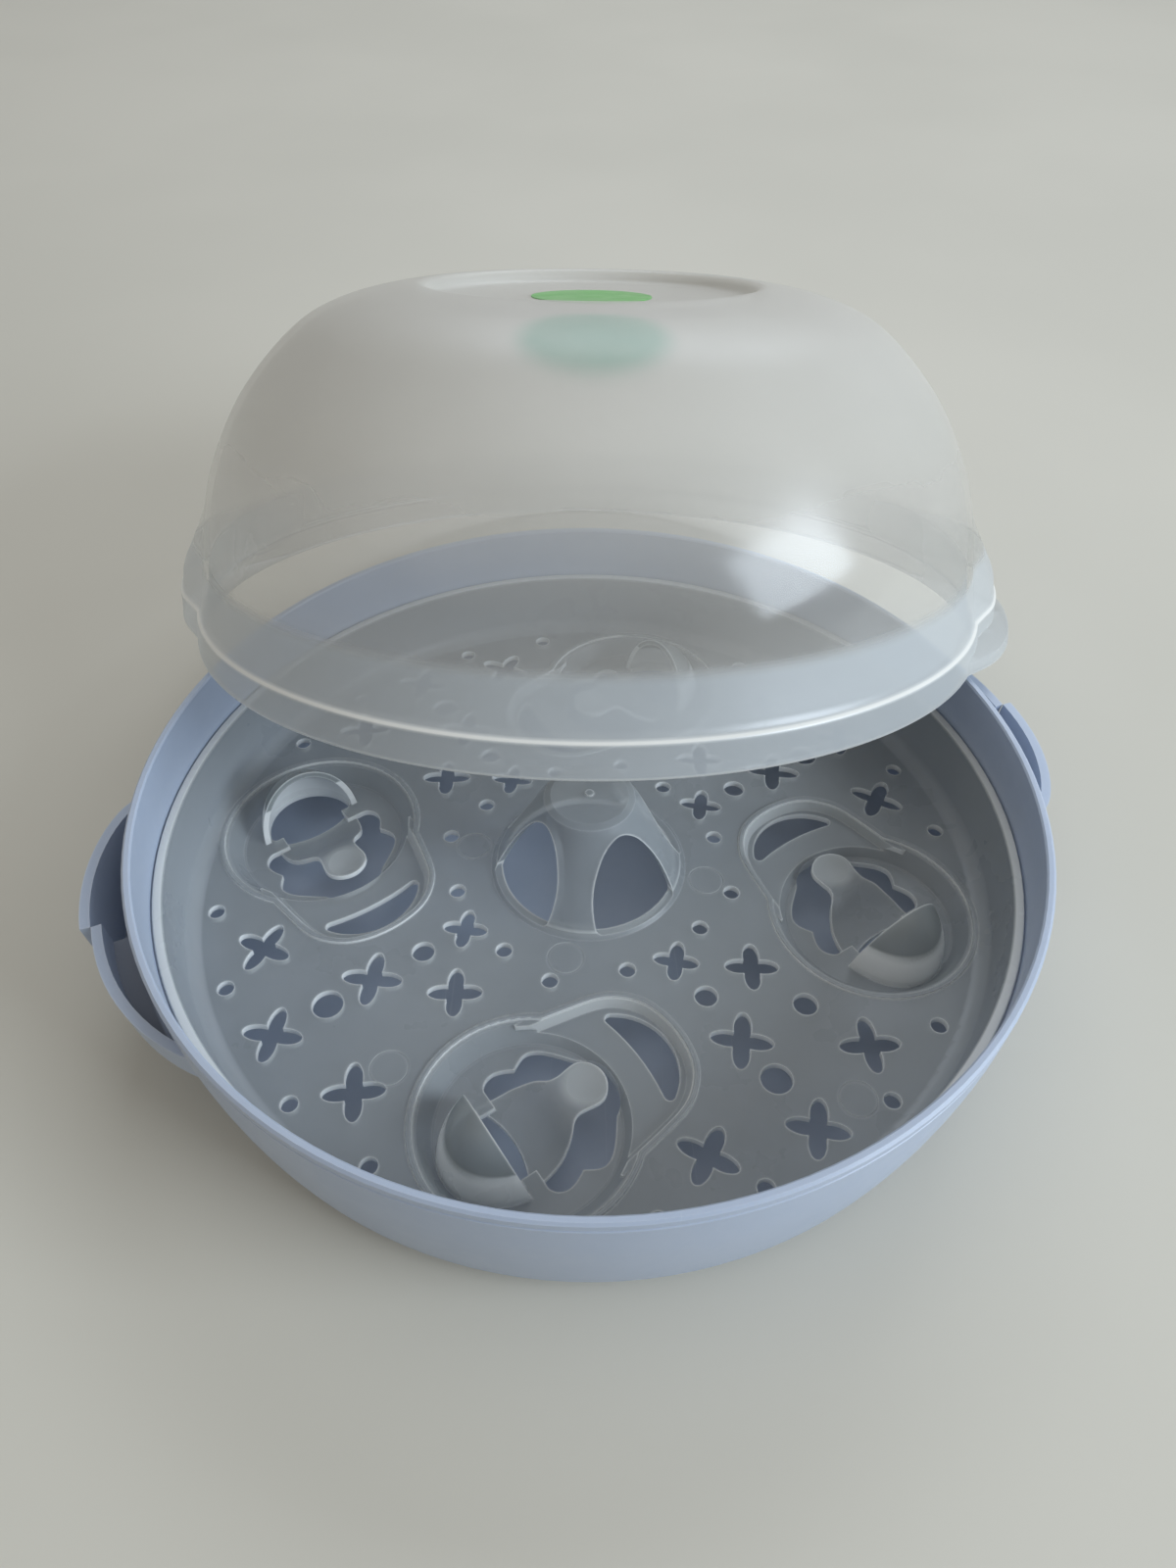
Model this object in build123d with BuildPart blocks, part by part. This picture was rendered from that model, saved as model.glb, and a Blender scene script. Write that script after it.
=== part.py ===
from build123d import *
import os
from math import sin, cos, radians, hypot

# Microwave sterilizer: a round water tray, a perforated rack that drops into it and a tall dome lid.
# Millimetres, +Z up. The origin is on the tray's axis, on the surface it stands on.
# The lid lies ajar: its far edge rests on that surface and its skirt on the tray's rim.

os.makedirs("parts", exist_ok=True)

# ---------------------------------------------------------------- driving dimensions
tray_height = 58.5        # rim above the table
tray_rim_r = 132.0        # outside radius of the rim
tray_wall = 2.3           # wall of the tray
tray_floor = 2.5          # floor of the tray
foot_r = 120.5            # corner of foot and side, before its rounding

handle_top = 49.1         # upper edge of the two side pockets
handle_bottom = 24.0      # underside of the deep half
handle_shelf = 40.5       # floor of the shallow half
handle_lip = 2.7          # thickness of the pocket wall

rack_flange_r = 128.4
rack_flange_top = 39.9
rack_plate = 2.0          # thickness of the perforated floor
rack_wall = 1.5
floor_apex = 24.06        # the floor falls gently from the middle: z = apex - slope * r
floor_slope = 0.0426

cone_foot_r = 29.5
cone_top_r = 14.2
cone_top = 53.6

holder_radius = 88.5      # the four holders' centres from the axis
holder_first = 80.0       # direction of the first holder, degrees from +X
holder_turn = 134.6       # each holder's tongue, turned from the outward direction

lid_tilt = 18.07          # the lid leans back by this angle
lid_origin = (-1.38, 104.4, 42.2)
lid_wall = 2.0

label_r = 19.4
label_thick = 0.3


def polar(angle, r):
    return (r * cos(radians(angle)), r * sin(radians(angle)))


def inset(points, d):
    """Points moved square to their line by d, to the left of the way they run."""
    out = []
    last = len(points) - 1
    for i, (x, y) in enumerate(points):
        x0, y0 = points[max(i - 1, 0)]
        x1, y1 = points[min(i + 1, last)]
        tx, ty = x1 - x0, y1 - y0
        run = hypot(tx, ty)
        out.append((x - ty / run * d, y + tx / run * d))
    return out


def floor_z(r):
    return floor_apex - floor_slope * r


# ---------------------------------------------------------------- tray
# outside of the side, from the foot to just under the rim's fine groove
side_out = [(125.2, 10.0), (127.2, 18.0), (129.5, 30.0), (131.1, 42.0), (131.7, 50.0), (131.9, 54.6)]

with BuildPart() as tray_shape:
    with BuildSketch(Plane.XZ):
        with BuildLine():
            Polyline((0, 0), (foot_r - 5.2, 0))
            ThreePointArc((foot_r - 5.2, 0), (foot_r - 0.6, 1.6), (foot_r + 2.1, 4.6))
            Line((foot_r + 2.1, 4.6), side_out[0])
            Spline(*side_out)
            Polyline(side_out[-1], (131.55, 54.9), (131.55, 55.5), (tray_rim_r, 55.9),
                     (tray_rim_r, tray_height - 0.7), (tray_rim_r - 0.7, tray_height), (0, tray_height), (0, 0))
        make_face()
    revolve(axis=Axis.Z)

# the hollow of the tray: a step at 37.9 carries the rack's flange
ledge_z = rack_flange_top - 2.0
with BuildPart() as tray_hollow:
    with BuildSketch(Plane.XZ):
        with BuildLine():
            Polyline((0, tray_floor), (114.5, tray_floor))
            ThreePointArc((114.5, tray_floor), (118.6, 3.9), (121.0, 7.2))
            Spline((121.0, 7.2), (122.6, 10.5), (124.8, 18.0), (127.0, 29.0), (127.75, 36.0))
            Polyline((127.75, 36.0), (127.8, ledge_z), (128.85, ledge_z), (129.25, 48.0),
                     (tray_rim_r - 2.5, tray_height - 0.5), (tray_rim_r - 2.0, tray_height), (tray_rim_r - 2.0, 70),
                     (0, 70), (0, tray_floor))
        make_face()
    revolve(axis=Axis.Z)

# each side handle is a crescent pocket in two halves, a deep one and a shallow one, with a step between them
deep_edge = [(178.0, 129.6), (179.3, 133.6), (180.8, 136.9), (183.0, 139.6), (187.0, 142.5), (191.0, 144.3), (195.0, 145.2),
             (199.4, 145.3)]
shallow_edge = [(199.4, 142.4), (204.0, 142.2), (208.0, 141.3), (211.5, 139.8), (215.5, 137.3), (218.8, 134.5),
                (221.5, 131.6), (223.2, 129.4)]
shallow_cut_edge = [(195.4, 142.4)] + shallow_edge


def crescent(edge, z, draft, lip):
    """One level of a pocket: its outer edge, drawn in by the draft and the lip, and a straight back inside the wall."""
    points = [polar(a, r - draft) for a, r in edge]
    points = inset(points, lip) if lip else points
    with BuildSketch(Plane.XY.offset(z)) as level:
        with BuildLine():
            Spline(*points)
            Polyline(points[-1], polar(edge[-1][0] - (1.2 if lip else 0), 118), polar(edge[0][0] + (1.2 if lip else 0), 118),
                     points[0])
        make_face()
    return level.sketch


with BuildPart() as pocket_cuts:
    add(crescent(deep_edge, handle_top + 0.5, 0, handle_lip))
    add(crescent(deep_edge, handle_bottom + 2.3, 3.2, handle_lip))
    loft()
with BuildPart() as shelf_cuts:
    add(crescent(shallow_cut_edge, handle_top + 0.5, 0, handle_lip))
    add(crescent(shallow_cut_edge, handle_shelf, 1.0, handle_lip))
    loft()
with BuildPart() as pocket_space:
    with PolarLocations(0, 2):
        add(pocket_cuts.part)
        add(shelf_cuts.part)
    add(tray_shape.part, mode=Mode.SUBTRACT)

with BuildPart() as deep_block:
    add(crescent(deep_edge, handle_top, 0, 0))
    add(crescent(deep_edge, handle_bottom, 3.4, 0))
    loft()
    fillet(deep_block.edges().group_by(Axis.Z)[0].sort_by(lambda e: e.center().X)[0:1], 2.2)
with BuildPart() as shallow_block:
    add(crescent(shallow_edge, handle_top, 0, 0))
    add(crescent(shallow_edge, handle_shelf - 2.6, 1.5, 0))
    loft()

with BuildPart() as base_tray:
    add(tray_shape.part)
    with PolarLocations(0, 2):
        add(deep_block.part)
        add(shallow_block.part)
    add(tray_hollow.part, mode=Mode.SUBTRACT)
    add(pocket_space.part, mode=Mode.SUBTRACT)
base_tray.part.label = "base_tray"
export_step(base_tray.part, "parts/base_tray.step")

# ---------------------------------------------------------------- one holder of the rack
# Drawn flat: z = 0 is the rack's floor at the holder's centre, X runs along the tongue.
cup = -6.1                # level of the cup's floor
well_r = 31.4             # line of the raised bead round the well
lobe_floor = -3.0         # level of the sunken lobe beside the well
lobe_edge = [(12.0, -25.6), (20.7, -24.2), (27.0, -23.1), (33.2, -21.9), (38.2, -20.3), (42.6, -17.4), (46.4, -13.0), (48.7, -7.2),
             (49.5, 0.0), (48.7, 7.2), (46.4, 13.0), (42.6, 17.4), (38.2, 20.3), (33.2, 21.9), (27.0, 23.1), (20.7, 24.2), (12.0, 25.6)]


def lobe(z, d):
    """The lobe's outline at one level, drawn in by d and closed inside the well."""
    points = inset(lobe_edge, d)
    with BuildSketch(Plane.XY.offset(z)) as level:
        with BuildLine():
            Spline(*points)
            Line(points[-1], points[0])
        make_face()
    return level.sketch


with BuildPart() as lobe_space:
    add(lobe(1.5, 0.0))
    add(lobe(lobe_floor, 2.6))
    loft()
with BuildPart() as lobe_room:
    add(lobe(-4.0, 0.3))
    extrude(amount=6)
with BuildPart() as lobe_dish:
    add(lobe(-0.5, -0.9))
    add(lobe(lobe_floor - 2.0, 1.2))
    loft()
    add(lobe_space.part, mode=Mode.SUBTRACT)
    Cylinder(28.4, 40, mode=Mode.SUBTRACT)

with BuildPart() as bead:
    with BuildSketch(Plane.XY.offset(-1.4)):
        Circle(well_r + 0.8)
        add(lobe(0, -0.8))
        Circle(well_r - 0.8, mode=Mode.SUBTRACT)
        add(lobe(0, 0.8), mode=Mode.SUBTRACT)
    extrude(amount=1.9)
    fillet(bead.faces().sort_by(Axis.Z)[-1].edges(), 0.4)

with BuildPart() as well:
    with BuildSketch(Plane.XZ):
        with BuildLine():
            Polyline((0, cup), (25.2, cup), (25.9, cup + 0.3), (29.5, -0.75), (30.0, -0.5), (31.7, -0.5), (31.7, -1.55),
                     (30.7, -2.4), (27.3, cup - 1.6), (26.3, cup - 2.0), (0, cup - 2.0), (0, cup))
        make_face()
    revolve(axis=Axis.Z)

# quarter dome at the back of the cup, open towards the tongue
hood_x, hood_side, hood_reach = -5.0, 16.8, 21.0


def dome(side, reach):
    with BuildPart() as shape:
        with BuildSketch(Plane.XY):
            with BuildLine():
                EllipticalCenterArc((0, 0), reach, side, start_angle=-90, arc_size=180)
                Line((0, side), (0, -side))
            make_face()
        revolve(axis=Axis.Y)
    return shape.part


with BuildPart() as hood:
    with Locations((hood_x, 0, cup)):
        add(dome(hood_side, hood_reach))
        add(dome(hood_side - 1.8, hood_reach - 1.8), mode=Mode.SUBTRACT)
    # everything below the cup's floor goes, and everything in front of the leaning mouth
    with BuildSketch(Plane.XZ):
        Polygon((-40, cup - 1.0), (40, cup - 1.0), (40, -60), (-40, -60), align=None)
    extrude(amount=40, both=True, mode=Mode.SUBTRACT)
    with BuildSketch(Plane.XZ):
        Polygon((-9.1, cup), (-12.6, 13.6), (-18.4, 36), (40, 36), (40, -30), (-3.0, -30), align=None)
    extrude(amount=40, both=True, mode=Mode.SUBTRACT)

# from the hood's mouth a scoop rises in a ramp to a spoon-shaped tongue, level with the rack's floor
ramp_low = cup - 1.4
ramp_top = [(-4.4, ramp_low), (-2.0, ramp_low + 0.3), (0.6, -6.4), (4.0, -4.8), (7.0, -2.6), (9.4, -0.8), (11.4, 0.05), (14.0, 0.3)]
ramp_under = inset(ramp_top, -1.7)
ramp_half = [(-8.4, 14.1), (-4.0, 13.7), (0.0, 13.1), (3.0, 12.3), (5.0, 11.3), (7.0, 10.1), (8.7, 8.7), (9.8, 7.5), (11.1, 6.5),
             (13.0, 6.1), (15.2, 6.3), (18.0, 6.7), (20.6, 6.3), (22.8, 4.5)]
with BuildPart() as tongue:
    with BuildSketch(Plane.XZ):
        with BuildLine():
            Line((-9.0, ramp_low), ramp_top[0])
            Spline(*ramp_top)
            Polyline(ramp_top[-1], (25.0, 0.7), (25.0, -1.0), ramp_under[-1])
            Spline(*ramp_under[::-1])
            Polyline(ramp_under[0], (-9.0, ramp_low - 1.7), (-9.0, ramp_low))
        make_face()
    extrude(amount=16, both=True)
    with BuildSketch(Plane.XY.offset(-20)):
        with BuildLine():
            Spline(*[(x, -w) for x, w in ramp_half], (24.4, 0), *[(x, w) for x, w in ramp_half[::-1]])
            ThreePointArc((-8.4, 14.1), (-4.4, 0), (-8.4, -14.1))
        make_face()
    extrude(amount=40, mode=Mode.INTERSECT)
    with Locations((18.0, 0, 21.8)):
        Sphere(22, mode=Mode.SUBTRACT)

# the wavy opening round the ramp and the tongue
wave = [[(-4.0, 15.2), (-3.5, 17.6), (-0.5, 19.5), (3.2, 18.9), (6.2, 17.3)],
        [(6.2, 17.3), (8.4, 18.7), (11.5, 19.7), (14.3, 18.7), (17.3, 16.0), (20.2, 12.4), (22.2, 9.8)],
        [(22.2, 9.8), (25.0, 7.6), (26.8, 4.2), (27.3, 0.0), (26.8, -4.2), (25.0, -7.6), (22.2, -9.8)]]
with BuildPart() as cup_openings:
    with BuildSketch(Plane.XY.offset(cup - 4)):
        with BuildLine():
            for run in wave:
                Spline(*run)
            for run in wave[1::-1]:
                Spline(*[(x, -y) for x, y in run[::-1]])
            Line((-4.0, -15.2), (-4.0, 15.2))
        make_face()
    extrude(amount=6.4)
    with BuildSketch(Plane.XY.offset(cup - 4)):
        with Locations((-6, 0)):
            Rectangle(6.5, 21)
    extrude(amount=6.4)
    # opening under the hood
    with BuildSketch(Plane.XY.offset(cup - 4)) as under_hood:
        with BuildLine():
            EllipticalCenterArc((-8.9, 0), 15.0, 14.0, start_angle=90, arc_size=180)
            Line((-8.9, -14.0), (-8.9, 14.0))
        make_face()
        fillet(under_hood.vertices(), 1.5)
    extrude(amount=5)

with BuildPart() as crescent_slot:
    with BuildSketch(Plane.XY.offset(-7)) as slot_shape:
        with Locations((27.7, 0)):
            Circle(18.3)
        with Locations((-27.6, 0)):
            Circle(64.1, mode=Mode.SUBTRACT)
        fillet(slot_shape.vertices(), 1.6)
    extrude(amount=12)

with BuildPart() as holder:
    add(well.part)
    add(lobe_space.part, mode=Mode.SUBTRACT)
    add(cup_openings.part, mode=Mode.SUBTRACT)
    add(hood.part)
    add(tongue.part)

holder_places = [
    Location((0, 0, 0), (0, 0, holder_first + 90 * g)) * Location((holder_radius, 0, floor_z(holder_radius)))
    * Location((0, 0, 0), (0, 2.44, 0)) * Location((0, 0, 0), (0, 0, holder_turn)) for g in range(4)
]

# ---------------------------------------------------------------- rack
with BuildPart() as rack:
    with BuildSketch(Plane.XZ) as rack_profile:
        with BuildLine():
            Polyline((0, cone_top + 0.6), (11.6, cone_top), (13.6, cone_top - 0.9), (cone_top_r + 0.3, cone_top - 2.4),
                     (cone_foot_r - 0.7, floor_z(cone_foot_r) + 1.4), (cone_foot_r + 0.9, floor_z(cone_foot_r + 0.9)),
                     (118.5, floor_z(118.5)))
            ThreePointArc((118.5, floor_z(118.5)), (122.1, 20.1), (123.5, 22.6))
            Polyline((123.5, 22.6), (125.6, rack_flange_top - 0.5), (126.1, rack_flange_top),
                     (rack_flange_r - 0.3, rack_flange_top), (rack_flange_r, rack_flange_top - 0.3),
                     (rack_flange_r, ledge_z), (125.6 + rack_wall, ledge_z), (124.7, 20.4))
            ThreePointArc((124.7, 20.4), (122.9, 18.2), (119.6, floor_z(119.6) - rack_plate))
            Polyline((119.6, floor_z(119.6) - rack_plate), (cone_foot_r - 2.4, floor_z(cone_foot_r) - rack_plate),
                     (cone_foot_r - 2.4, floor_z(cone_foot_r) + 0.4), (cone_top_r - 1.6, cone_top - 2.9), (11.0, cone_top - 2.0),
                     (0, cone_top - 1.5), (0, cone_top + 0.6))
        make_face()
    revolve(axis=Axis.Z)

    # four arched openings in the cone
    for g in range(4):
        a = 35.0 + 90 * g
        radial = (cos(radians(a)), sin(radians(a)), 0)
        tangent = (-sin(radians(a)), cos(radians(a)), 0)
        with BuildSketch(Plane(origin=(3 * radial[0], 3 * radial[1], 0), x_dir=tangent, z_dir=radial)) as arch:
            with BuildLine():
                Spline((14.2, floor_z(29.5) + 0.9), (13.6, 29.0), (11.6, 36.0), (8.3, 42.5), (4.6, 47.2), (0, 49.4),
                       (-4.6, 47.2), (-8.3, 42.5), (-11.6, 36.0), (-13.6, 29.0), (-14.2, floor_z(29.5) + 0.9))
                Line((-14.2, floor_z(29.5) + 0.9), (14.2, floor_z(29.5) + 0.9))
            make_face()
            fillet(arch.vertices(), 1.2)
        extrude(amount=40, mode=Mode.SUBTRACT)

    # room for the four wells, then the holders themselves
    for place in holder_places:
        with Locations(place):
            Cylinder(30.9, 14, mode=Mode.SUBTRACT)
            add(lobe_room.part, mode=Mode.SUBTRACT)
            add(lobe_dish.part)
            add(bead.part)
            add(holder.part)
            add(crescent_slot.part, mode=Mode.SUBTRACT)

    # steam and drain holes: round ones and four-petal ones, the same in each quarter
    with BuildSketch(Plane.XY.offset(14)):
        for g in range(4):
            for r, a, dia in [(59.2, 35.2, 6.6), (90.3, 35.1, 8.9), (41.8, 16.2, 4.8), (41.7, 53.9, 4.8), (45.4, -13.7, 4.8),
                              (114.8, 9.3, 4.8), (114.2, 23.9, 4.8), (114.6, 46.2, 4.8), (114.4, 60.9, 4.8)]:
                with Locations(polar(a + 90 * g, r)):
                    Circle(dia / 2)
            for r, a, span, turn, half in [(44.9, 35.3, 13.5, -9, 2.15), (75.9, 34.8, 17.8, -7, 2.45), (107.4, 35.0, 17.5, -9, 2.45),
                                           (101.3, 18.4, 17.5, -26, 2.45), (100.9, 51.7, 17.5, 6, 2.45),
                                           (61.2, 51.8, 15.8, 0, 2.35)]:
                with Locations(Location((*polar(a + 90 * g, r), 0), (0, 0, turn + 90 * g))):
                    Circle(2.5)
                    with PolarLocations(span / 2 - span * 0.28, 4):
                        Ellipse(span * 0.28, half)
        with Locations(polar(51.3 + 270, 80.1)):
            Circle(3.5)
    extrude(amount=14, mode=Mode.SUBTRACT)

    # faint round witness lines in the floor, and the gate's dot on the cone
    for r, a in [(37, 80), (37, 170), (37, 260), (37, 350), (108, 312.8), (90, 233.3)]:
        lie = Location((0, 0, 0), (0, 0, a)) * Location((r, 0, floor_z(r) - 0.18)) * Location((0, 0, 0), (0, 2.44, 0))
        with BuildSketch(Plane(lie)):
            Circle(5.5)
            Circle(5.05, mode=Mode.SUBTRACT)
        extrude(amount=1.5, mode=Mode.SUBTRACT)
    with Locations((0, 0, cone_top + 0.6)):
        Cylinder(1.3, 0.9)
rack.part.label = "rack"
export_step(rack.part, "parts/rack.step")

# ---------------------------------------------------------------- lid
# Drawn upright about its own axis: h = 0 is its lower edge.
dome_out = [(133.4, 11.6), (131.8, 20.0), (130.3, 30.0), (128.9, 40.0), (127.0, 48.0), (124.1, 56.6), (119.8, 66.0),
            (114.4, 75.4), (107.0, 84.9), (98.0, 94.0), (91.8, 98.9), (82.4, 103.6), (70.0, 107.2), (60.0, 108.9)]
dome_in = inset(dome_out, lid_wall)

with BuildPart() as lid_filled:
    with BuildSketch(Plane.XZ):
        with BuildLine():
            Polyline((0, 0), (135.8, 0), (134.95, 9.4), (134.85, 10.2), (134.3, 10.7), (133.4, 11.6))
            Spline(*dome_out)
            Polyline(dome_out[-1], (55.8, 109.3), (0, 109.3), (0, 0))
        make_face()
    revolve(axis=Axis.Z)

# everything inside the skin: the ledge at 9.4 sits on the tray's rim when the lid is on
with BuildPart() as lid_hollow:
    with BuildSketch(Plane.XZ):
        with BuildLine():
            Polyline((0, -5), (133.9, -5), (133.9, 0), (133.1, 9.4), (131.1, 9.4), dome_in[0])
            Spline(*dome_in)
            Polyline(dome_in[-1], (56.0, 107.3), (54.6, 106.9), (52.6, 103.9), (50.9, 103.3), (0, 103.0), (0, -5))
        make_face()
    revolve(axis=Axis.Z)

# the recess inside the rolled ring of the top
with BuildPart() as lid_recess:
    with BuildSketch(Plane.XZ):
        with BuildLine():
            Polyline((0, 105.0), (50.3, 105.3), (51.4, 106.0), (52.9, 108.5))
            ThreePointArc((52.9, 108.5), (54.2, 109.15), (55.8, 109.32))
            Polyline((55.8, 109.32), (55.8, 112), (0, 112), (0, 105.0))
        make_face()
    revolve(axis=Axis.Z)

# grips: a low ear along the lower edge, and a taller swelling over its one half that dies out up the dome.
# The ear on the right reaches further out than the one on the left.
right_ear = [(-25.0, 134.0), (-21.0, 141.2), (-14.0, 145.8), (-6.0, 148.2), (0.0, 149.7), (5.0, 149.4), (10.0, 146.6),
             (14.5, 142.0), (18.5, 134.0)]
right_swell = [
    (2.4, [(-15, 128), (-12, 137), (-6, 142.0), (0, 145.6), (4, 147.2), (8, 146.2), (12, 142.2), (15, 136), (16.5, 128)]),
    (17.5, [(-15, 127), (-12, 136), (-6, 141.2), (0, 144.6), (4, 146.0), (8, 145.0), (12, 140.8), (15, 134), (16.5, 127)]),
    (25.0, [(-13, 126), (-10, 133.6), (-5, 137.4), (0, 139.8), (4, 140.6), (8, 139.8), (11, 136.6), (13.5, 131.4), (15, 126)]),
    (49.0, [(-9, 122), (-7, 124), (-4, 124.6), (0, 125.0), (3, 125.2), (6, 125.0), (8.5, 124.6), (10, 124), (11, 122)]),
]
left_ear = [(153.5, 134.0), (157.5, 138.4), (162.0, 142.0), (167.0, 144.8), (172.0, 146.4), (176.0, 146.6), (180.0, 146.2),
            (184.0, 144.6), (188.0, 142.4), (191.0, 139.8), (195.5, 134.0)]
left_swell = [
    (2.4, [(161, 128), (165, 136.5), (170, 141.6), (174, 144.0), (178, 145.0), (182, 144.0), (186, 141.8), (190, 138.2), (193.5, 128)]),
    (17.5, [(161, 127), (165, 135.5), (170, 140.6), (174, 143.0), (178, 143.8), (182, 142.8), (186, 140.4), (190, 136.8), (193.5, 127)]),
    (25.0, [(163, 126), (167, 133.0), (171, 136.6), (175, 138.8), (178, 139.4), (182, 138.6), (186, 136.2), (189.5, 132), (192, 126)]),
    (49.0, [(167, 122), (169, 124), (172, 124.6), (176, 125.0), (179, 125.2), (182, 125.0), (184.5, 124.6), (187, 124), (188.5, 122)]),
]


def grip_level(edge, z, lip, back):
    """One level of a grip: its outer edge, less the wall, and a straight back inside the dome."""
    points = [polar(a, r) for a, r in edge]
    points = inset(points, lip) if lip else points
    with BuildSketch(Plane.XY.offset(z)) as level:
        with BuildLine():
            Polyline(*points, polar(edge[-1][0], back), polar(edge[0][0], back), points[0])
        make_face()
    return level.sketch


grips, grip_hollows = [], []
for ear_edge, swell_levels in ((right_ear, right_swell), (left_ear, left_swell)):
    with BuildPart() as ear:
        add(grip_level(ear_edge, 0, 0, 108))
        add(grip_level([(a, r - 0.4) for a, r in ear_edge], 4.6, 0, 108))
        loft(ruled=True)
    with BuildPart() as swell:
        for h, edge in swell_levels:
            add(grip_level(edge, h, 0, 112))
        loft(ruled=True)
    with BuildPart() as ear_hollow:
        add(grip_level(ear_edge, -0.5, 2.0, 110))
        add(grip_level(ear_edge, 2.8, 2.2, 110))
        loft(ruled=True)
    with BuildPart() as swell_hollow:
        add(grip_level(swell_levels[0][1], 1.4, 1.9, 116))
        add(grip_level(swell_levels[1][1], 15.8, 1.9, 116))
        add(grip_level(swell_levels[2][1], 23.0, 2.1, 116))
        loft(ruled=True)
    grips += [ear.part, swell.part]
    grip_hollows += [ear_hollow.part, swell_hollow.part]
with BuildPart() as grip_space:
    for hollow in grip_hollows:
        add(hollow)
    add(lid_filled.part, mode=Mode.SUBTRACT)

lid_place = Plane(origin=lid_origin, x_dir=(1, 0, 0), z_dir=(0, sin(radians(lid_tilt)), cos(radians(lid_tilt))))
with BuildPart() as lid_upright:
    add(lid_filled.part)
    for grip in grips:
        add(grip)
    add(lid_hollow.part, mode=Mode.SUBTRACT)
    add(lid_recess.part, mode=Mode.SUBTRACT)
    add(grip_space.part, mode=Mode.SUBTRACT)
with BuildPart() as lid:
    with Locations(lid_place.location):
        add(lid_upright.part)
lid.part.label = "lid"
export_step(lid.part, "parts/lid.step")

# ---------------------------------------------------------------- round label in the lid's recessed top
with BuildPart() as label_upright:
    with BuildSketch(Plane.XY.offset(105.12)):
        Circle(label_r)
    extrude(amount=label_thick)
with BuildPart() as lid_label:
    with Locations(lid_place.location):
        add(label_upright.part)
lid_label.part.label = "lid_label"
export_step(lid_label.part, "parts/lid_label.step")
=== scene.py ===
from math import sin, cos, radians, pi

import bmesh
import bpy
import numpy as np
from mathutils import Matrix, Vector


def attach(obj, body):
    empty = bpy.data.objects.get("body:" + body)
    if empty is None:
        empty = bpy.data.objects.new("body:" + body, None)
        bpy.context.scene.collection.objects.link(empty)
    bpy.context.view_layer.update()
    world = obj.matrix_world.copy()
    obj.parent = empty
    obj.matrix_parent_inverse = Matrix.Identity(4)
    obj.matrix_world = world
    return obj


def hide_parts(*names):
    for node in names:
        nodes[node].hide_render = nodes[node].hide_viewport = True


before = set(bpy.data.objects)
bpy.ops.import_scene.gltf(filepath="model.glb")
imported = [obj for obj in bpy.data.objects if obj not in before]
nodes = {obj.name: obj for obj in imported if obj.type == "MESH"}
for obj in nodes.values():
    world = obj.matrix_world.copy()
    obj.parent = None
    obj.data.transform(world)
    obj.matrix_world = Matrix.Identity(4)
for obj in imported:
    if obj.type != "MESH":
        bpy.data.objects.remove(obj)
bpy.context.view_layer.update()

scene = bpy.context.scene

# ------------------------------------------------------------------ camera
YAW, PITCH, ROLL = 0.0, 0.8030, -0.0130
fwd = Vector((sin(YAW) * cos(PITCH), cos(YAW) * cos(PITCH), -sin(PITCH)))
right = Vector((cos(YAW), -sin(YAW), 0.0))
down = fwd.cross(right)
r2 = cos(ROLL) * right + sin(ROLL) * down
d2 = -sin(ROLL) * right + cos(ROLL) * down
cam_data = bpy.data.cameras.new("camera")
cam_data.sensor_fit = "AUTO"
cam_data.sensor_width = 36.0
cam_data.lens = 36.0 * 1200.0 / 1600.0
cam_data.clip_start, cam_data.clip_end = 0.01, 50.0
camera = bpy.data.objects.new("camera", cam_data)
scene.collection.objects.link(camera)
camera.matrix_world = Matrix.Translation((-0.00049, -0.23885, 0.30562)) @ Matrix((r2, -d2, -fwd)).transposed().to_4x4()
scene.camera = camera
scene.view_settings.view_transform = "Standard"


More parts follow.
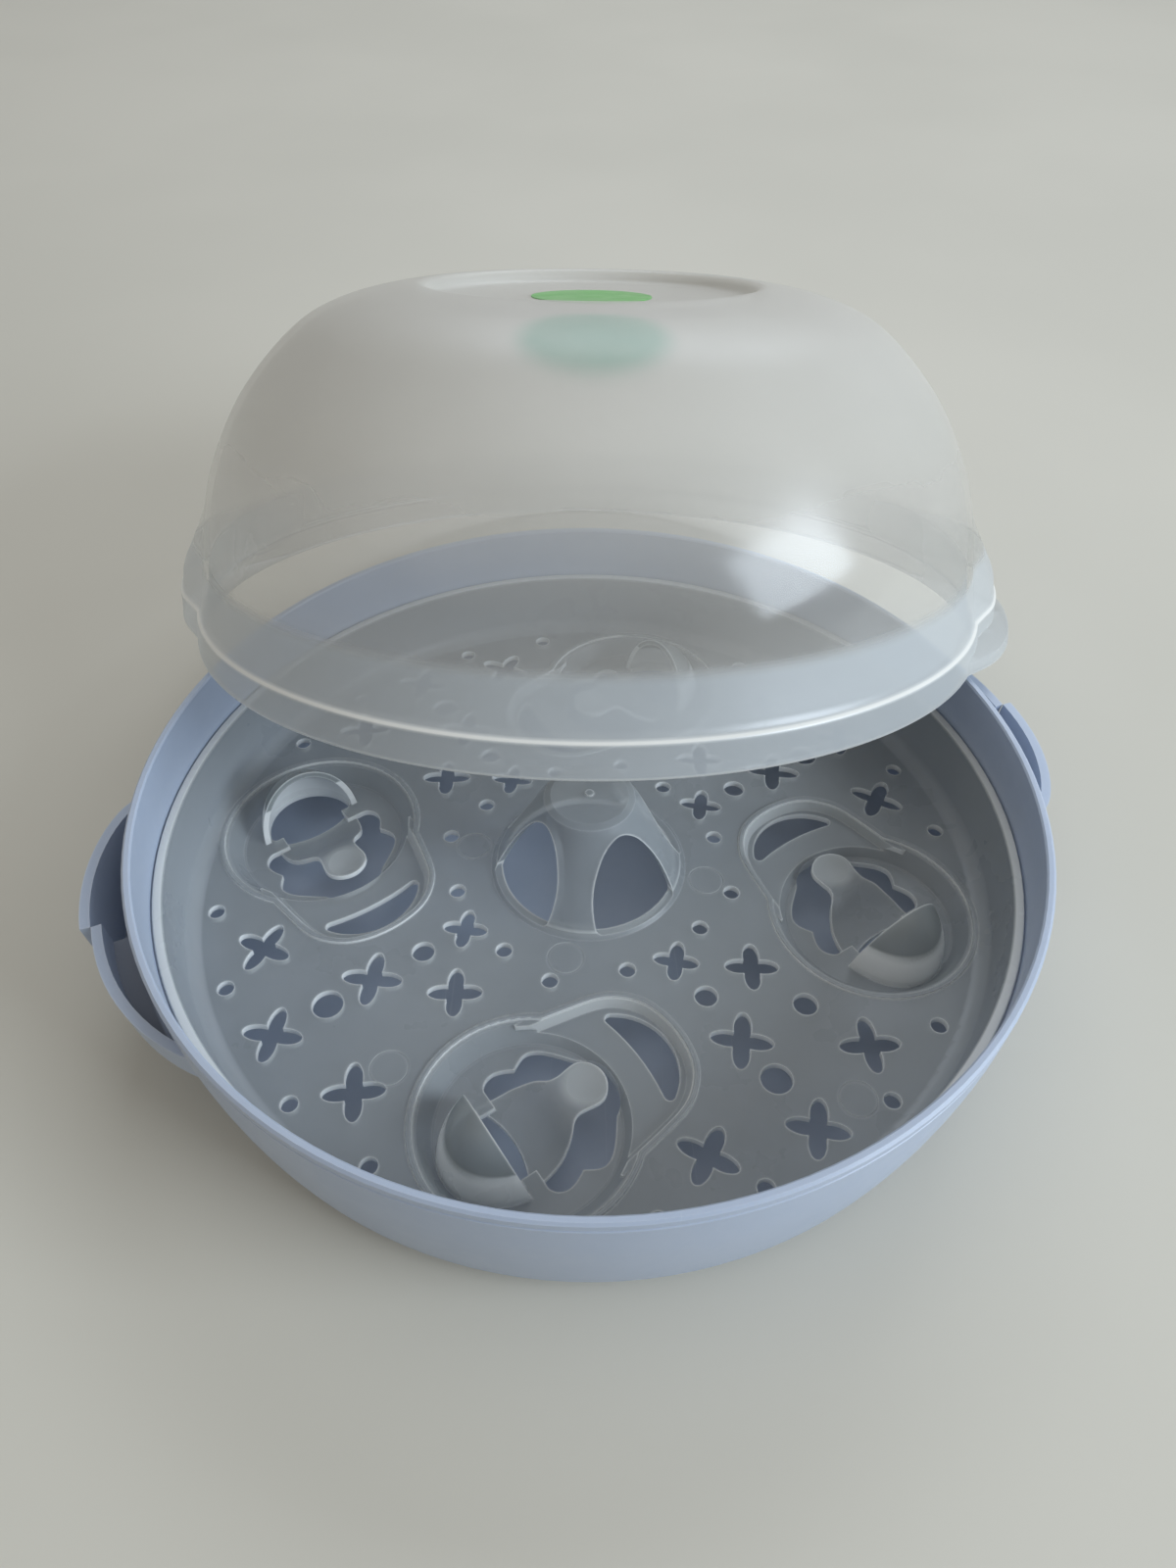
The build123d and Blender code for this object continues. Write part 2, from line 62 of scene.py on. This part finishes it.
# ------------------------------------------------------------------ small helpers for node materials
class Mat:
    def __init__(self, name):
        self.m = bpy.data.materials.new(name)
        self.m.use_nodes = True
        self.t = self.m.node_tree
        self.t.nodes.clear()
        self.out = self.t.nodes.new("ShaderNodeOutputMaterial")
        self.p = self.t.nodes.new("ShaderNodeBsdfPrincipled")
        self.link(self.p.outputs[0], self.out.inputs[0])
        self.coord = self.t.nodes.new("ShaderNodeTexCoord").outputs["Object"]

    def link(self, a, b):
        self.t.links.new(a, b)

    def put(self, socket, value):
        if isinstance(value, bpy.types.NodeSocket):
            self.link(value, socket)
        else:
            socket.default_value = value

    def set(self, **values):
        for k, v in values.items():
            self.put(self.p.inputs[k.replace("_", " ")], v)

    def noise(self, scale, detail=3.0, rough=0.5, stretch=None, distortion=0.0):
        n = self.t.nodes.new("ShaderNodeTexNoise")
        n.inputs["Scale"].default_value = scale
        n.inputs["Detail"].default_value = detail
        n.inputs["Roughness"].default_value = rough
        n.inputs["Distortion"].default_value = distortion
        src = self.coord
        if stretch:
            mp = self.t.nodes.new("ShaderNodeMapping")
            mp.inputs["Scale"].default_value = stretch[0]
            mp.inputs["Rotation"].default_value = stretch[1]
            self.link(src, mp.inputs[0])
            src = mp.outputs[0]
        self.link(src, n.inputs["Vector"])
        return n.outputs["Fac"]

    def remap(self, v, a, b, lo=0.0, hi=1.0, smooth=True):
        n = self.t.nodes.new("ShaderNodeMapRange")
        n.interpolation_type = "SMOOTHSTEP" if smooth else "LINEAR"
        n.clamp = True
        self.put(n.inputs["Value"], v)
        n.inputs["From Min"].default_value, n.inputs["From Max"].default_value = a, b
        n.inputs["To Min"].default_value, n.inputs["To Max"].default_value = lo, hi
        return n.outputs["Result"]

    def math(self, op, a, b=0.0):
        n = self.t.nodes.new("ShaderNodeMath")
        n.operation = op
        self.put(n.inputs[0], a)
        self.put(n.inputs[1], b)
        return n.outputs[0]

    def mix(self, fac, a, b):
        n = self.t.nodes.new("ShaderNodeMix")
        n.data_type = "RGBA"
        self.put(n.inputs["Factor"], fac)
        for s, v in ((n.inputs[6], a), (n.inputs[7], b)):
            self.put(s, (*v, 1.0) if isinstance(v, tuple) and len(v) == 3 else v)
        return n.outputs[2]

    def attr(self, name):
        n = self.t.nodes.new("ShaderNodeAttribute")
        n.attribute_name = name
        return n.outputs["Fac"]

    def xyz(self, vector=None):
        n = self.t.nodes.new("ShaderNodeSeparateXYZ")
        self.link(vector or self.coord, n.inputs[0])
        return n.outputs

    def distance(self, point):
        n = self.t.nodes.new("ShaderNodeVectorMath")
        n.operation = "DISTANCE"
        self.link(self.coord, n.inputs[0])
        n.inputs[1].default_value = point
        return n.outputs["Value"]

    def radius(self):
        x, y, _ = self.xyz()
        return self.math("SQRT", self.math("ADD", self.math("MULTIPLY", x, x), self.math("MULTIPLY", y, y)))

    def edge(self, radius, gain):
        """Where the surface turns sharply: the rounded normal against the true one."""
        b = self.t.nodes.new("ShaderNodeBevel")
        b.samples = 6
        b.inputs["Radius"].default_value = radius
        g = self.t.nodes.new("ShaderNodeNewGeometry")
        d = self.t.nodes.new("ShaderNodeVectorMath")
        d.operation = "DOT_PRODUCT"
        self.link(b.outputs[0], d.inputs[0])
        self.link(g.outputs["Normal"], d.inputs[1])
        return self.remap(self.math("SUBTRACT", 1.0, d.outputs["Value"]), 0.0, gain, smooth=False)

    def normal_z(self):
        g = self.t.nodes.new("ShaderNodeNewGeometry")
        return self.xyz(g.outputs["Normal"])[2]

    def bump(self, *heights):
        """heights: (socket, distance in metres, strength)"""
        prev = None
        for h, dist, strength in heights:
            b = self.t.nodes.new("ShaderNodeBump")
            b.inputs["Distance"].default_value = dist
            b.inputs["Strength"].default_value = strength
            self.link(h, b.inputs["Height"])
            if prev:
                self.link(prev, b.inputs["Normal"])
            prev = b.outputs[0]
        self.link(prev, self.p.inputs["Normal"])


def scratches(m, scale, seedrot, lo, hi):
    """Sparse fine scratch lines: thin level lines of a strongly stretched noise."""
    n = m.noise(scale, 2.0, 0.5, stretch=((1.0, 0.045, 1.0), (0.3, 0.2, seedrot)))
    line = m.math("ABSOLUTE", m.math("SUBTRACT", n, 0.5))
    thin = m.remap(line, 0.0, 0.0035, 1.0, 0.0)
    gate = m.remap(m.noise(scale * 0.13, 1.0, 0.5, stretch=((1.0, 1.0, 1.0), (seedrot, 0, 0))), lo, hi, 0.0, 1.0)
    return m.math("MULTIPLY", thin, gate)


# ------------------------------------------------------------------ tray: opaque lavender-blue moulded plastic
def tray_material():
    m = Mat("tray_plastic")
    cloud = m.remap(m.noise(14.0, 3.0), 0.35, 0.65)
    body = m.mix(cloud, (0.405, 0.475, 0.600), (0.425, 0.492, 0.612))
    fine = m.remap(m.noise(260.0, 2.0), 0.3, 0.7)
    body = m.mix(m.math("MULTIPLY", fine, 0.06), body, (0.56, 0.60, 0.69))
    # painted highlight: the sharp edges and rims are painted paler where they catch the light
    edge_highlight = m.edge(0.0007, 0.28)
    body = m.mix(m.math("MULTIPLY", edge_highlight, 0.40), body, (0.66, 0.69, 0.76))
    scr = scratches(m, 55.0, 0.4, 0.52, 0.6)
    body = m.mix(m.math("MULTIPLY", scr, 0.25), body, (0.7, 0.74, 0.82))
    # painted shade: the floors of the handle pockets are darkened, as light hardly reaches them
    pocket_shade = m.math("MULTIPLY", m.remap(m.radius(), 0.1318, 0.1326), m.remap(m.xyz()[2], 0.0470, 0.0485, 1.0, 0.0))
    pocket_shade = m.math("MULTIPLY", pocket_shade, m.remap(m.normal_z(), 0.45, 0.65))
    body = m.mix(m.math("MULTIPLY", pocket_shade, 0.8), body, (0.17, 0.19, 0.235))
    m.set(Base_Color=body, IOR=1.49, Subsurface_Weight=0.08, Subsurface_Scale=0.004)
    m.p.inputs["Subsurface Radius"].default_value = (0.9, 1.0, 1.25)
    rough = m.remap(m.noise(38.0, 4.0), 0.3, 0.7, 0.34, 0.44)
    m.set(Roughness=m.math("ADD", rough, m.math("MULTIPLY", scr, 0.15)))
    m.bump((m.noise(900.0, 2.0), 0.00004, 0.35), (m.noise(30.0, 2.0), 0.0003, 0.10))
    return m.m


# ------------------------------------------------------------------ rack: frosted see-through plastic, with painted glow and highlights on its edges
TONGUES = [(6e-05, 0.07661, 0.02105), (-0.07661, 6e-05, 0.02105), (-6e-05, -0.07661, 0.02105), (0.07661, -6e-05, 0.02105)]
HOODS = [(0.02567, 0.09433, 0.02191), (-0.09433, 0.02567, 0.02191), (-0.02567, -0.09433, 0.02191), (0.09433, -0.02567, 0.02191)]


def rack_material():
    m = Mat("rack_plastic")
    z = m.xyz()[2]
    r = m.radius()
    cloud = m.remap(m.noise(16.0, 3.0), 0.35, 0.65)
    body = m.mix(cloud, (0.385, 0.418, 0.436), (0.415, 0.448, 0.466))
    # painted glow: the thickness of the plate is painted pale where a hole or a rim cuts it, as if light scattered in
    # it
    nz = m.math("ABSOLUTE", m.normal_z())
    cut = m.remap(nz, 0.35, 0.6, 1.0, 0.0)
    in_plate = m.math("MULTIPLY", m.remap(z, 0.0245, 0.0255, 1.0, 0.0), m.remap(r, 0.1175, 0.1195, 1.0, 0.0))
    cut = m.math("MULTIPLY", cut, in_plate)
    # painted highlight along the sharp edges and on the flange's top ring
    edge_highlight = m.edge(0.0011, 0.35)
    flange = m.math("MULTIPLY", m.remap(r, 0.1255, 0.1262), m.remap(z, 0.0390, 0.0396))
    pale = m.math("MAXIMUM", m.math("MAXIMUM", m.math("MULTIPLY", cut, 0.95), m.math("MULTIPLY", edge_highlight, 0.95)), m.math("MULTIPLY", flange, 0.8))
    # painted highlight: the spoon-shaped tongues are painted paler where they catch the light; the hoods' domes are
    # thicker and cloudier than the plate
    spoon = hoods = 0.0
    for k in range(4):
        spoon = m.math("ADD", spoon, m.remap(m.distance(TONGUES[k]), 0.0050, 0.0085, 1.0, 0.0))
        hoods = m.math("ADD", hoods, m.remap(m.distance(HOODS[k]), 0.0160, 0.0190, 1.0, 0.0))
    above = m.math("ADD", z, m.math("MULTIPLY", r, 0.04260))
    hoods = m.math("MULTIPLY", hoods, m.remap(above, 0.01986, 0.02146))
    wall = m.math("MULTIPLY", m.remap(r, 0.1185, 0.1195), m.remap(r, 0.1252, 0.1260, 1.0, 0.0))
    body = m.mix(m.math("MULTIPLY", wall, 0.45), body, (0.58, 0.62, 0.65))
    body = m.mix(m.math("MULTIPLY", spoon, 0.36), body, (0.70, 0.73, 0.73))
    body = m.mix(m.math("MULTIPLY", hoods, 0.75), body, (0.330, 0.365, 0.372))
    colour = m.mix(pale, body, (0.84, 0.87, 0.87))
    m.set(Base_Color=colour, IOR=1.49, Subsurface_Weight=0.45, Subsurface_Scale=0.005)
    m.p.inputs["Subsurface Radius"].default_value = (1.0, 1.0, 1.0)
    alpha = m.math("ADD", m.remap(m.noise(22.0, 3.0), 0.3, 0.7, 0.46, 0.52), m.math("MULTIPLY", pale, 0.46))
    alpha = m.math("ADD", alpha, m.math("ADD", m.math("MULTIPLY", spoon, 0.16), m.math("MULTIPLY", hoods, 0.20)))
    m.set(Alpha=m.math("MINIMUM", alpha, 1.0))
    m.set(Roughness=m.remap(m.noise(45.0, 4.0), 0.3, 0.7, 0.26, 0.36))
    m.bump((m.noise(700.0, 2.0), 0.00004, 0.3), (m.noise(26.0, 2.0), 0.0004, 0.10))
    return m.m


# ------------------------------------------------------------------ lid: frosted clear plastic, matt low down and polished above
def lid_material():
    m = Mat("lid_plastic")
    h = m.attr("height_mm")
    cloud = m.remap(m.noise(11.0, 3.0), 0.35, 0.65)
    body = m.mix(cloud, (0.695, 0.68, 0.635), (0.735, 0.72, 0.675))
    # the frosting fades upwards, and is thin on the far side
    near = m.remap(m.xyz()[1], 0.060, 0.215, 1.0, 0.22)
    frost = m.math("MULTIPLY", m.math("ADD", m.remap(h, 25.0, 30.0, 0.84, 0.0), m.remap(h, 24.0, 44.0, 0.16, 0.0)), near)
    body = m.mix(frost, body, (0.60, 0.64, 0.665))
    # painted light: a pale greenish patch on the near shoulder, the label's tinted light falling there
    label_light = m.attr("label_light")
    body = m.mix(m.math("MULTIPLY", label_light, m.remap(m.noise(60.0, 3.0), 0.2, 0.8, 0.70, 0.86)), body, (0.29, 0.46, 0.37))
    # painted highlight: the bead ledge and the lower edge are painted near white where they catch the light
    line = m.attr("line")
    body = m.mix(m.math("MULTIPLY", line, 0.9), body, (0.92, 0.92, 0.88))
    # painted highlight along the sharp edges
    edge_highlight = m.edge(0.0009, 0.35)
    body = m.mix(m.math("MULTIPLY", edge_highlight, 0.6), body, (0.9, 0.9, 0.87))
    scr = m.math("MAXIMUM", scratches(m, 48.0, 0.7, 0.53, 0.6), scratches(m, 60.0, 2.1, 0.55, 0.62))
    m.set(Base_Color=body, IOR=1.49)
    skirt = m.remap(h, 9.4, 10.8, 1.0, 0.0)
    milky = m.remap(h, 38.0, 92.0, 0.0, 1.0)
    alpha = m.math("SUBTRACT", m.math("ADD", 0.17, m.math("MULTIPLY", frost, 0.40)), m.math("MULTIPLY", m.math("MULTIPLY", skirt, near), 0.16))
    alpha = m.math("ADD", alpha, m.math("MULTIPLY", milky, 0.29))
    alpha = m.math("ADD", alpha, m.math("MULTIPLY", m.math("MAXIMUM", line, m.math("MULTIPLY", edge_highlight, 0.5)), 0.45))
    alpha = m.math("ADD", alpha, m.math("MULTIPLY", label_light, 0.10))
    alpha = m.math("ADD", alpha, m.remap(m.noise(8.0, 3.0), 0.3, 0.7, -0.015, 0.015))
    lw = m.t.nodes.new("ShaderNodeLayerWeight")
    lw.inputs["Blend"].default_value = 0.25
    alpha = m.math("ADD", alpha, m.math("MULTIPLY", lw.outputs["Facing"], 0.22))
    m.set(Alpha=m.math("MINIMUM", alpha, 0.95))
    rough = m.math("ADD", m.remap(m.noise(35.0, 4.0), 0.3, 0.7, 0.10, 0.15), m.math("MULTIPLY", frost, 0.22))
    rough = m.math("ADD", rough, m.math("ADD", m.math("MULTIPLY", milky, 0.30), m.math("MULTIPLY", scr, 0.08)))
    m.set(Roughness=rough)
    m.set(Specular_IOR_Level=1.0)
    m.bump((m.noise(800.0, 2.0), 0.00003, 0.25), (m.noise(18.0, 2.0), 0.0006, 0.08))
    return m.m


def label_material():
    m = Mat("green_label")
    c = m.mix(m.remap(m.noise(90.0, 3.0), 0.3, 0.7), (0.16, 0.50, 0.14), (0.20, 0.56, 0.17))
    m.set(Base_Color=c, Roughness=m.remap(m.noise(120.0, 2.0), 0.3, 0.7, 0.28, 0.4))
    m.bump((m.noise(1200.0, 2.0), 0.00002, 0.3))
    return m.m


# ------------------------------------------------------------------ the lid as one smooth moulding with its grips
TILT = radians(18.07)
LID_O = np.array((-1.38, 104.4, 42.2))
LID_Y = np.array((0.0, cos(TILT), -sin(TILT)))
LID_Z = np.array((0.0, sin(TILT), cos(TILT)))


def spline(xs, ys, at):
    """Natural cubic spline through the points."""
    xs, ys, at = (np.asarray(v, float) for v in (xs, ys, at))
    n = len(xs)
    hh = np.diff(xs)
    a = np.zeros((n, n))
    b = np.zeros(n)
    a[0, 0] = a[-1, -1] = 1.0
    for i in range(1, n - 1):
        a[i, i - 1], a[i, i], a[i, i + 1] = hh[i - 1], 2 * (hh[i - 1] + hh[i]), hh[i]
        b[i] = 6 * ((ys[i + 1] - ys[i]) / hh[i] - (ys[i] - ys[i - 1]) / hh[i - 1])
    k = np.linalg.solve(a, b)
    i = np.clip(np.searchsorted(xs, at) - 1, 0, n - 2)
    t = at - xs[i]
    return ys[i] + t * ((ys[i + 1] - ys[i]) / hh[i] - hh[i] * (2 * k[i] + k[i + 1]) / 6) + t**2 * k[i] / 2 + t**3 * (k[i + 1] - k[i]) / (6 * hh[i])


def smoothstep(x, a, b):
    t = np.clip((x - a) / (b - a), 0, 1)
    return t * t * (3 - 2 * t)


dome = np.array([(133.4, 11.6), (131.8, 20.0), (130.3, 30.0), (128.9, 40.0), (127.0, 48.0), (124.1, 56.6), (119.8, 66.0),
                 (114.4, 75.4), (107.0, 84.9), (98.0, 94.0), (91.8, 98.9), (82.4, 103.6), (70.0, 107.2), (60.0, 108.9)])
run = np.concatenate([[0], np.cumsum(np.hypot(*np.diff(dome, axis=0).T))])
steps = np.linspace(0, run[-1], 64)
dome_o = np.stack([spline(run, dome[:, 0], steps), spline(run, dome[:, 1], steps)], 1)
tan = np.gradient(dome_o, axis=0)
tan /= np.linalg.norm(tan, axis=1)[:, None]
dome_i = dome_o + 2.0 * np.stack([-tan[:, 1], tan[:, 0]], 1)

# each grip: how far its ear stands out along the lower edge, and how its swelling runs round and dies out up the dome
RIGHT_EAR = np.array([(-26.5, 0), (-24.0, 2.6), (-21.0, 5.6), (-17.0, 8.4), (-12.0, 10.7), (-6.0, 12.6), (-1.0, 13.9), (4.0, 14.0),
                      (9.0, 11.6), (13.5, 7.2), (17.0, 2.8), (19.5, 0)])
RIGHT_SWELL = np.array([(-17.0, 0), (-13.4, 0.20), (-9.9, 0.44), (-6.4, 0.62), (-2.8, 0.78), (0.8, 0.92), (4.3, 1.0), (7.9, 0.97),
                        (11.4, 0.76), (15.0, 0.38), (18.5, 0)])
LEFT_EAR = np.array([(154.0, 0), (157.5, 2.8), (162.0, 6.4), (167.0, 9.2), (172.0, 10.6), (176.0, 10.4), (180.0, 9.4), (184.0, 7.7),
                     (187.0, 5.7), (190.0, 3.2), (193.5, 0)])
LEFT_SWELL = np.array([(161.0, 0), (164.0, 0.22), (167.5, 0.48), (171.0, 0.70), (174.0, 0.82), (177.0, 0.88), (180.0, 0.85), (183.0, 0.75),
                       (186.0, 0.62), (190.0, 0.40), (193.0, 0.18), (196.0, 0)])
RISE = np.array([(0, 11.6), (4, 11.8), (8, 12.2), (12.5, 13.2), (16, 13.4), (19, 12.8), (22, 11.4), (25, 10.0), (29, 8.2), (34, 5.9),
                 (39, 3.6), (44, 1.6), (48, 0.5), (52, 0)])


def lobe(theta, table, centre=0.0, squeeze=1.0):
    """The table's value at each angle, drawn in towards its centre by the squeeze."""
    first, last = table[0, 0], table[-1, 0]
    d = (theta - first + 180) % 360 - 180 + first
    d = centre + (d - centre) / squeeze
    inside = (d > first) & (d < last)
    return np.where(inside, np.maximum(spline(table[:, 0], table[:, 1], np.clip(d, first, last)), 0), 0.0)


def ear(theta):
    return lobe(theta, RIGHT_EAR) + lobe(theta, LEFT_EAR)


def swell(theta, h):
    k = float(smoothstep(np.array(h), 18, 50))
    s = lobe(theta, RIGHT_SWELL, 3.0, 1 - 0.45 * k) + lobe(theta, LEFT_SWELL, 179.0, 1 - 0.45 * k)
    return s * float(np.interp(h, RISE[:, 0], RISE[:, 1]))


def grip(theta, h):
    e = ear(theta) * (1 - float(smoothstep(np.array(h), 4.2, 5.4))) * (1 - 0.03 * h / 4.6)
    s = swell(theta, h)
    big, small = np.maximum(e, s), np.minimum(e, s)
    return big + 0.35 * np.exp(-(big - small) / 0.8) * (small > 0.2) * (h < 52)


def build_lid():
    n = 480
    theta = np.arange(n) * 360.0 / n
    rows, tags = [], []

    def row(r, h, tag="skin"):
        rows.append((np.broadcast_to(np.asarray(r, float), (n,)).copy(), np.broadcast_to(np.asarray(h, float), (n,)).copy()))
        tags.append(tag)

    # outside, from the lower edge up
    for r, h in [(134.75, 0.0), (135.35, 0.08), (135.72, 0.45), (135.75, 1.2), (135.65, 2.4), (135.55, 3.4), (135.48, 4.1), (135.44, 4.4),
                 (135.42, 4.7), (135.39, 5.0), (135.36, 5.3), (135.33, 5.7), (135.25, 6.6), (135.15, 7.8), (135.02, 9.0),
                 (134.98, 9.5), (134.92, 10.0), (134.72, 10.4), (134.3, 10.75), (133.85, 11.15)]:
        row(r + grip(theta, h), h)
    for r, h in dome_o:
        row(r + (grip(theta, float(h)) if h < 54 else 0), h)
    # rolled ring and recessed top
    for r, h in [(57.6, 109.2), (55.8, 109.32), (54.6, 109.25), (53.6, 108.9), (52.9, 108.3), (52.4, 107.4), (51.9, 106.5),
                 (51.3, 105.8), (50.4, 105.4), (49.0, 105.25), (44.0, 105.2), (30.0, 105.12), (15.0, 105.05), (0.0, 105.02)]:
        row(r, h)
    # inside, back down
    for r, h in [(0.0, 103.0), (15.0, 103.05), (30.0, 103.12), (46.0, 103.25), (50.4, 103.4), (51.9, 103.8), (52.9, 104.6), (53.6, 105.8),
                 (54.3, 106.7), (55.4, 107.2), (57.0, 107.25)]:
        row(r, h)
    for r, h in dome_i[::-1]:
        row(r, h)
    for r, h in [(131.2, 10.6), (131.1, 9.7), (131.25, 9.45), (132.9, 9.42), (133.15, 9.2), (133.3, 7.5), (133.55, 4.0), (133.8, 1.0),
                 (133.95, 0.25), (134.2, 0.04)]:
        row(r, h)
    R = np.array([q[0] for q in rows])
    H = np.array([q[1] for q in rows])
    ang = np.radians(theta)[None, :]
    X, Y = R * np.cos(ang), R * np.sin(ang)
    P = LID_O + X[..., None] * np.array((1.0, 0, 0)) + Y[..., None] * LID_Y + H[..., None] * LID_Z
    k = len(rows)
    idx = np.arange(k * n).reshape(k, n)
    a, b = idx, np.roll(idx, -1, axis=0)
    quads = np.stack([a, np.roll(a, -1, axis=1), np.roll(b, -1, axis=1), b], -1).reshape(-1, 4)
    mesh = bpy.data.meshes.new("lid_shell")
    mesh.from_pydata((P.reshape(-1, 3) / 1000).tolist(), [], quads.tolist())
    # masks held on the points: height above the lower edge, painted highlight lines along the bead and the lower edge,
    # and a painted patch of the label's greenish light on the near shoulder
    height = H.reshape(-1)
    line = np.exp(-((H - 10.6) / 0.55) ** 2) * (R > 133.3) + 0.9 * (1 - smoothstep(H, 0.1, 0.9)) * (R > 134.0)
    d = np.hypot((X - 1.0) / 21.5, (Y + 81.5) / 14.5)
    label_light = (1 - smoothstep(d, 0.72, 1.12)) * (H > 90) * smoothstep(-Y, 66.0, 71.0)
    for name, v in (("height_mm", height), ("line", line.reshape(-1)), ("label_light", label_light.reshape(-1))):
        mesh.attributes.new(name, "FLOAT", "POINT").data.foreach_set("value", np.ascontiguousarray(v, dtype=np.float32))
    bm = bmesh.new()
    bm.from_mesh(mesh)
    bmesh.ops.remove_doubles(bm, verts=bm.verts, dist=2e-6)
    bmesh.ops.dissolve_degenerate(bm, dist=1e-6, edges=bm.edges)
    bmesh.ops.recalc_face_normals(bm, faces=bm.faces)
    bm.to_mesh(mesh)
    bm.free()
    for f in mesh.polygons:
        f.use_smooth = True
    mesh.set_sharp_from_angle(angle=radians(50))
    o = bpy.data.objects.new("lid_shell", mesh)
    scene.collection.objects.link(o)
    return o


lid = build_lid()
lid.data.materials.append(lid_material())
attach(lid, "lid")
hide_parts("lid")


def give(node, material):
    o = nodes[node]
    if not o.material_slots:
        o.data.materials.append(material)
    for s in o.material_slots:
        s.material = material


give("base_tray", tray_material())
give("rack", rack_material())
give("lid_label", label_material())

# ------------------------------------------------------------------ pale floor and soft studio light
floor_mesh = bpy.data.meshes.new("floor")
floor_mesh.from_pydata([(-6, -6, 0), (6, -6, 0), (6, 6, 0), (-6, 6, 0)], [], [(0, 1, 2, 3)])
floor = bpy.data.objects.new("floor", floor_mesh)
scene.collection.objects.link(floor)
fm = Mat("floor")
fm.set(Base_Color=fm.mix(fm.remap(fm.noise(3.0, 3.0), 0.35, 0.65), (0.585, 0.566, 0.500), (0.615, 0.594, 0.526)),
       Roughness=0.50, IOR=1.45)
fm.bump((fm.noise(420.0, 2.0), 0.0001, 0.12))
floor_mesh.materials.append(fm.m)


def area(name, where, at, size, power, colour):
    light = bpy.data.lights.new(name, "AREA")
    light.shape = "RECTANGLE"
    light.size, light.size_y = size
    light.energy = power
    light.color = colour
    o = bpy.data.objects.new(name, light)
    scene.collection.objects.link(o)
    o.location = where
    o.rotation_mode = "QUATERNION"
    o.rotation_quaternion = (Vector(at) - Vector(where)).to_track_quat("-Z", "Y")
    return o


area("window", (1.75, -0.75, 0.92), (0.0, 0.05, 0.03), (1.2, 0.9), 38.0, (0.80, 0.90, 1.0))
area("fill", (-1.3, -0.6, 1.5), (0.0, 0.05, 0.05), (1.4, 1.4), 2.2, (1.0, 0.96, 0.90))
area("back", (0.3, 1.7, 1.5), (0.0, 0.1, 0.05), (1.8, 1.0), 17.0, (0.83, 0.91, 1.0))
area("top", (-0.15, -0.1, 1.9), (0.0, 0.0, 0.0), (1.5, 1.5), 3.5, (1.0, 0.985, 0.96))

world = bpy.data.worlds.new("world")
scene.world = world
world.use_nodes = True
bg = world.node_tree.nodes["Background"]
bg.inputs["Color"].default_value = (1.0, 0.97, 0.92, 1.0)
bg.inputs["Strength"].default_value = 0.30
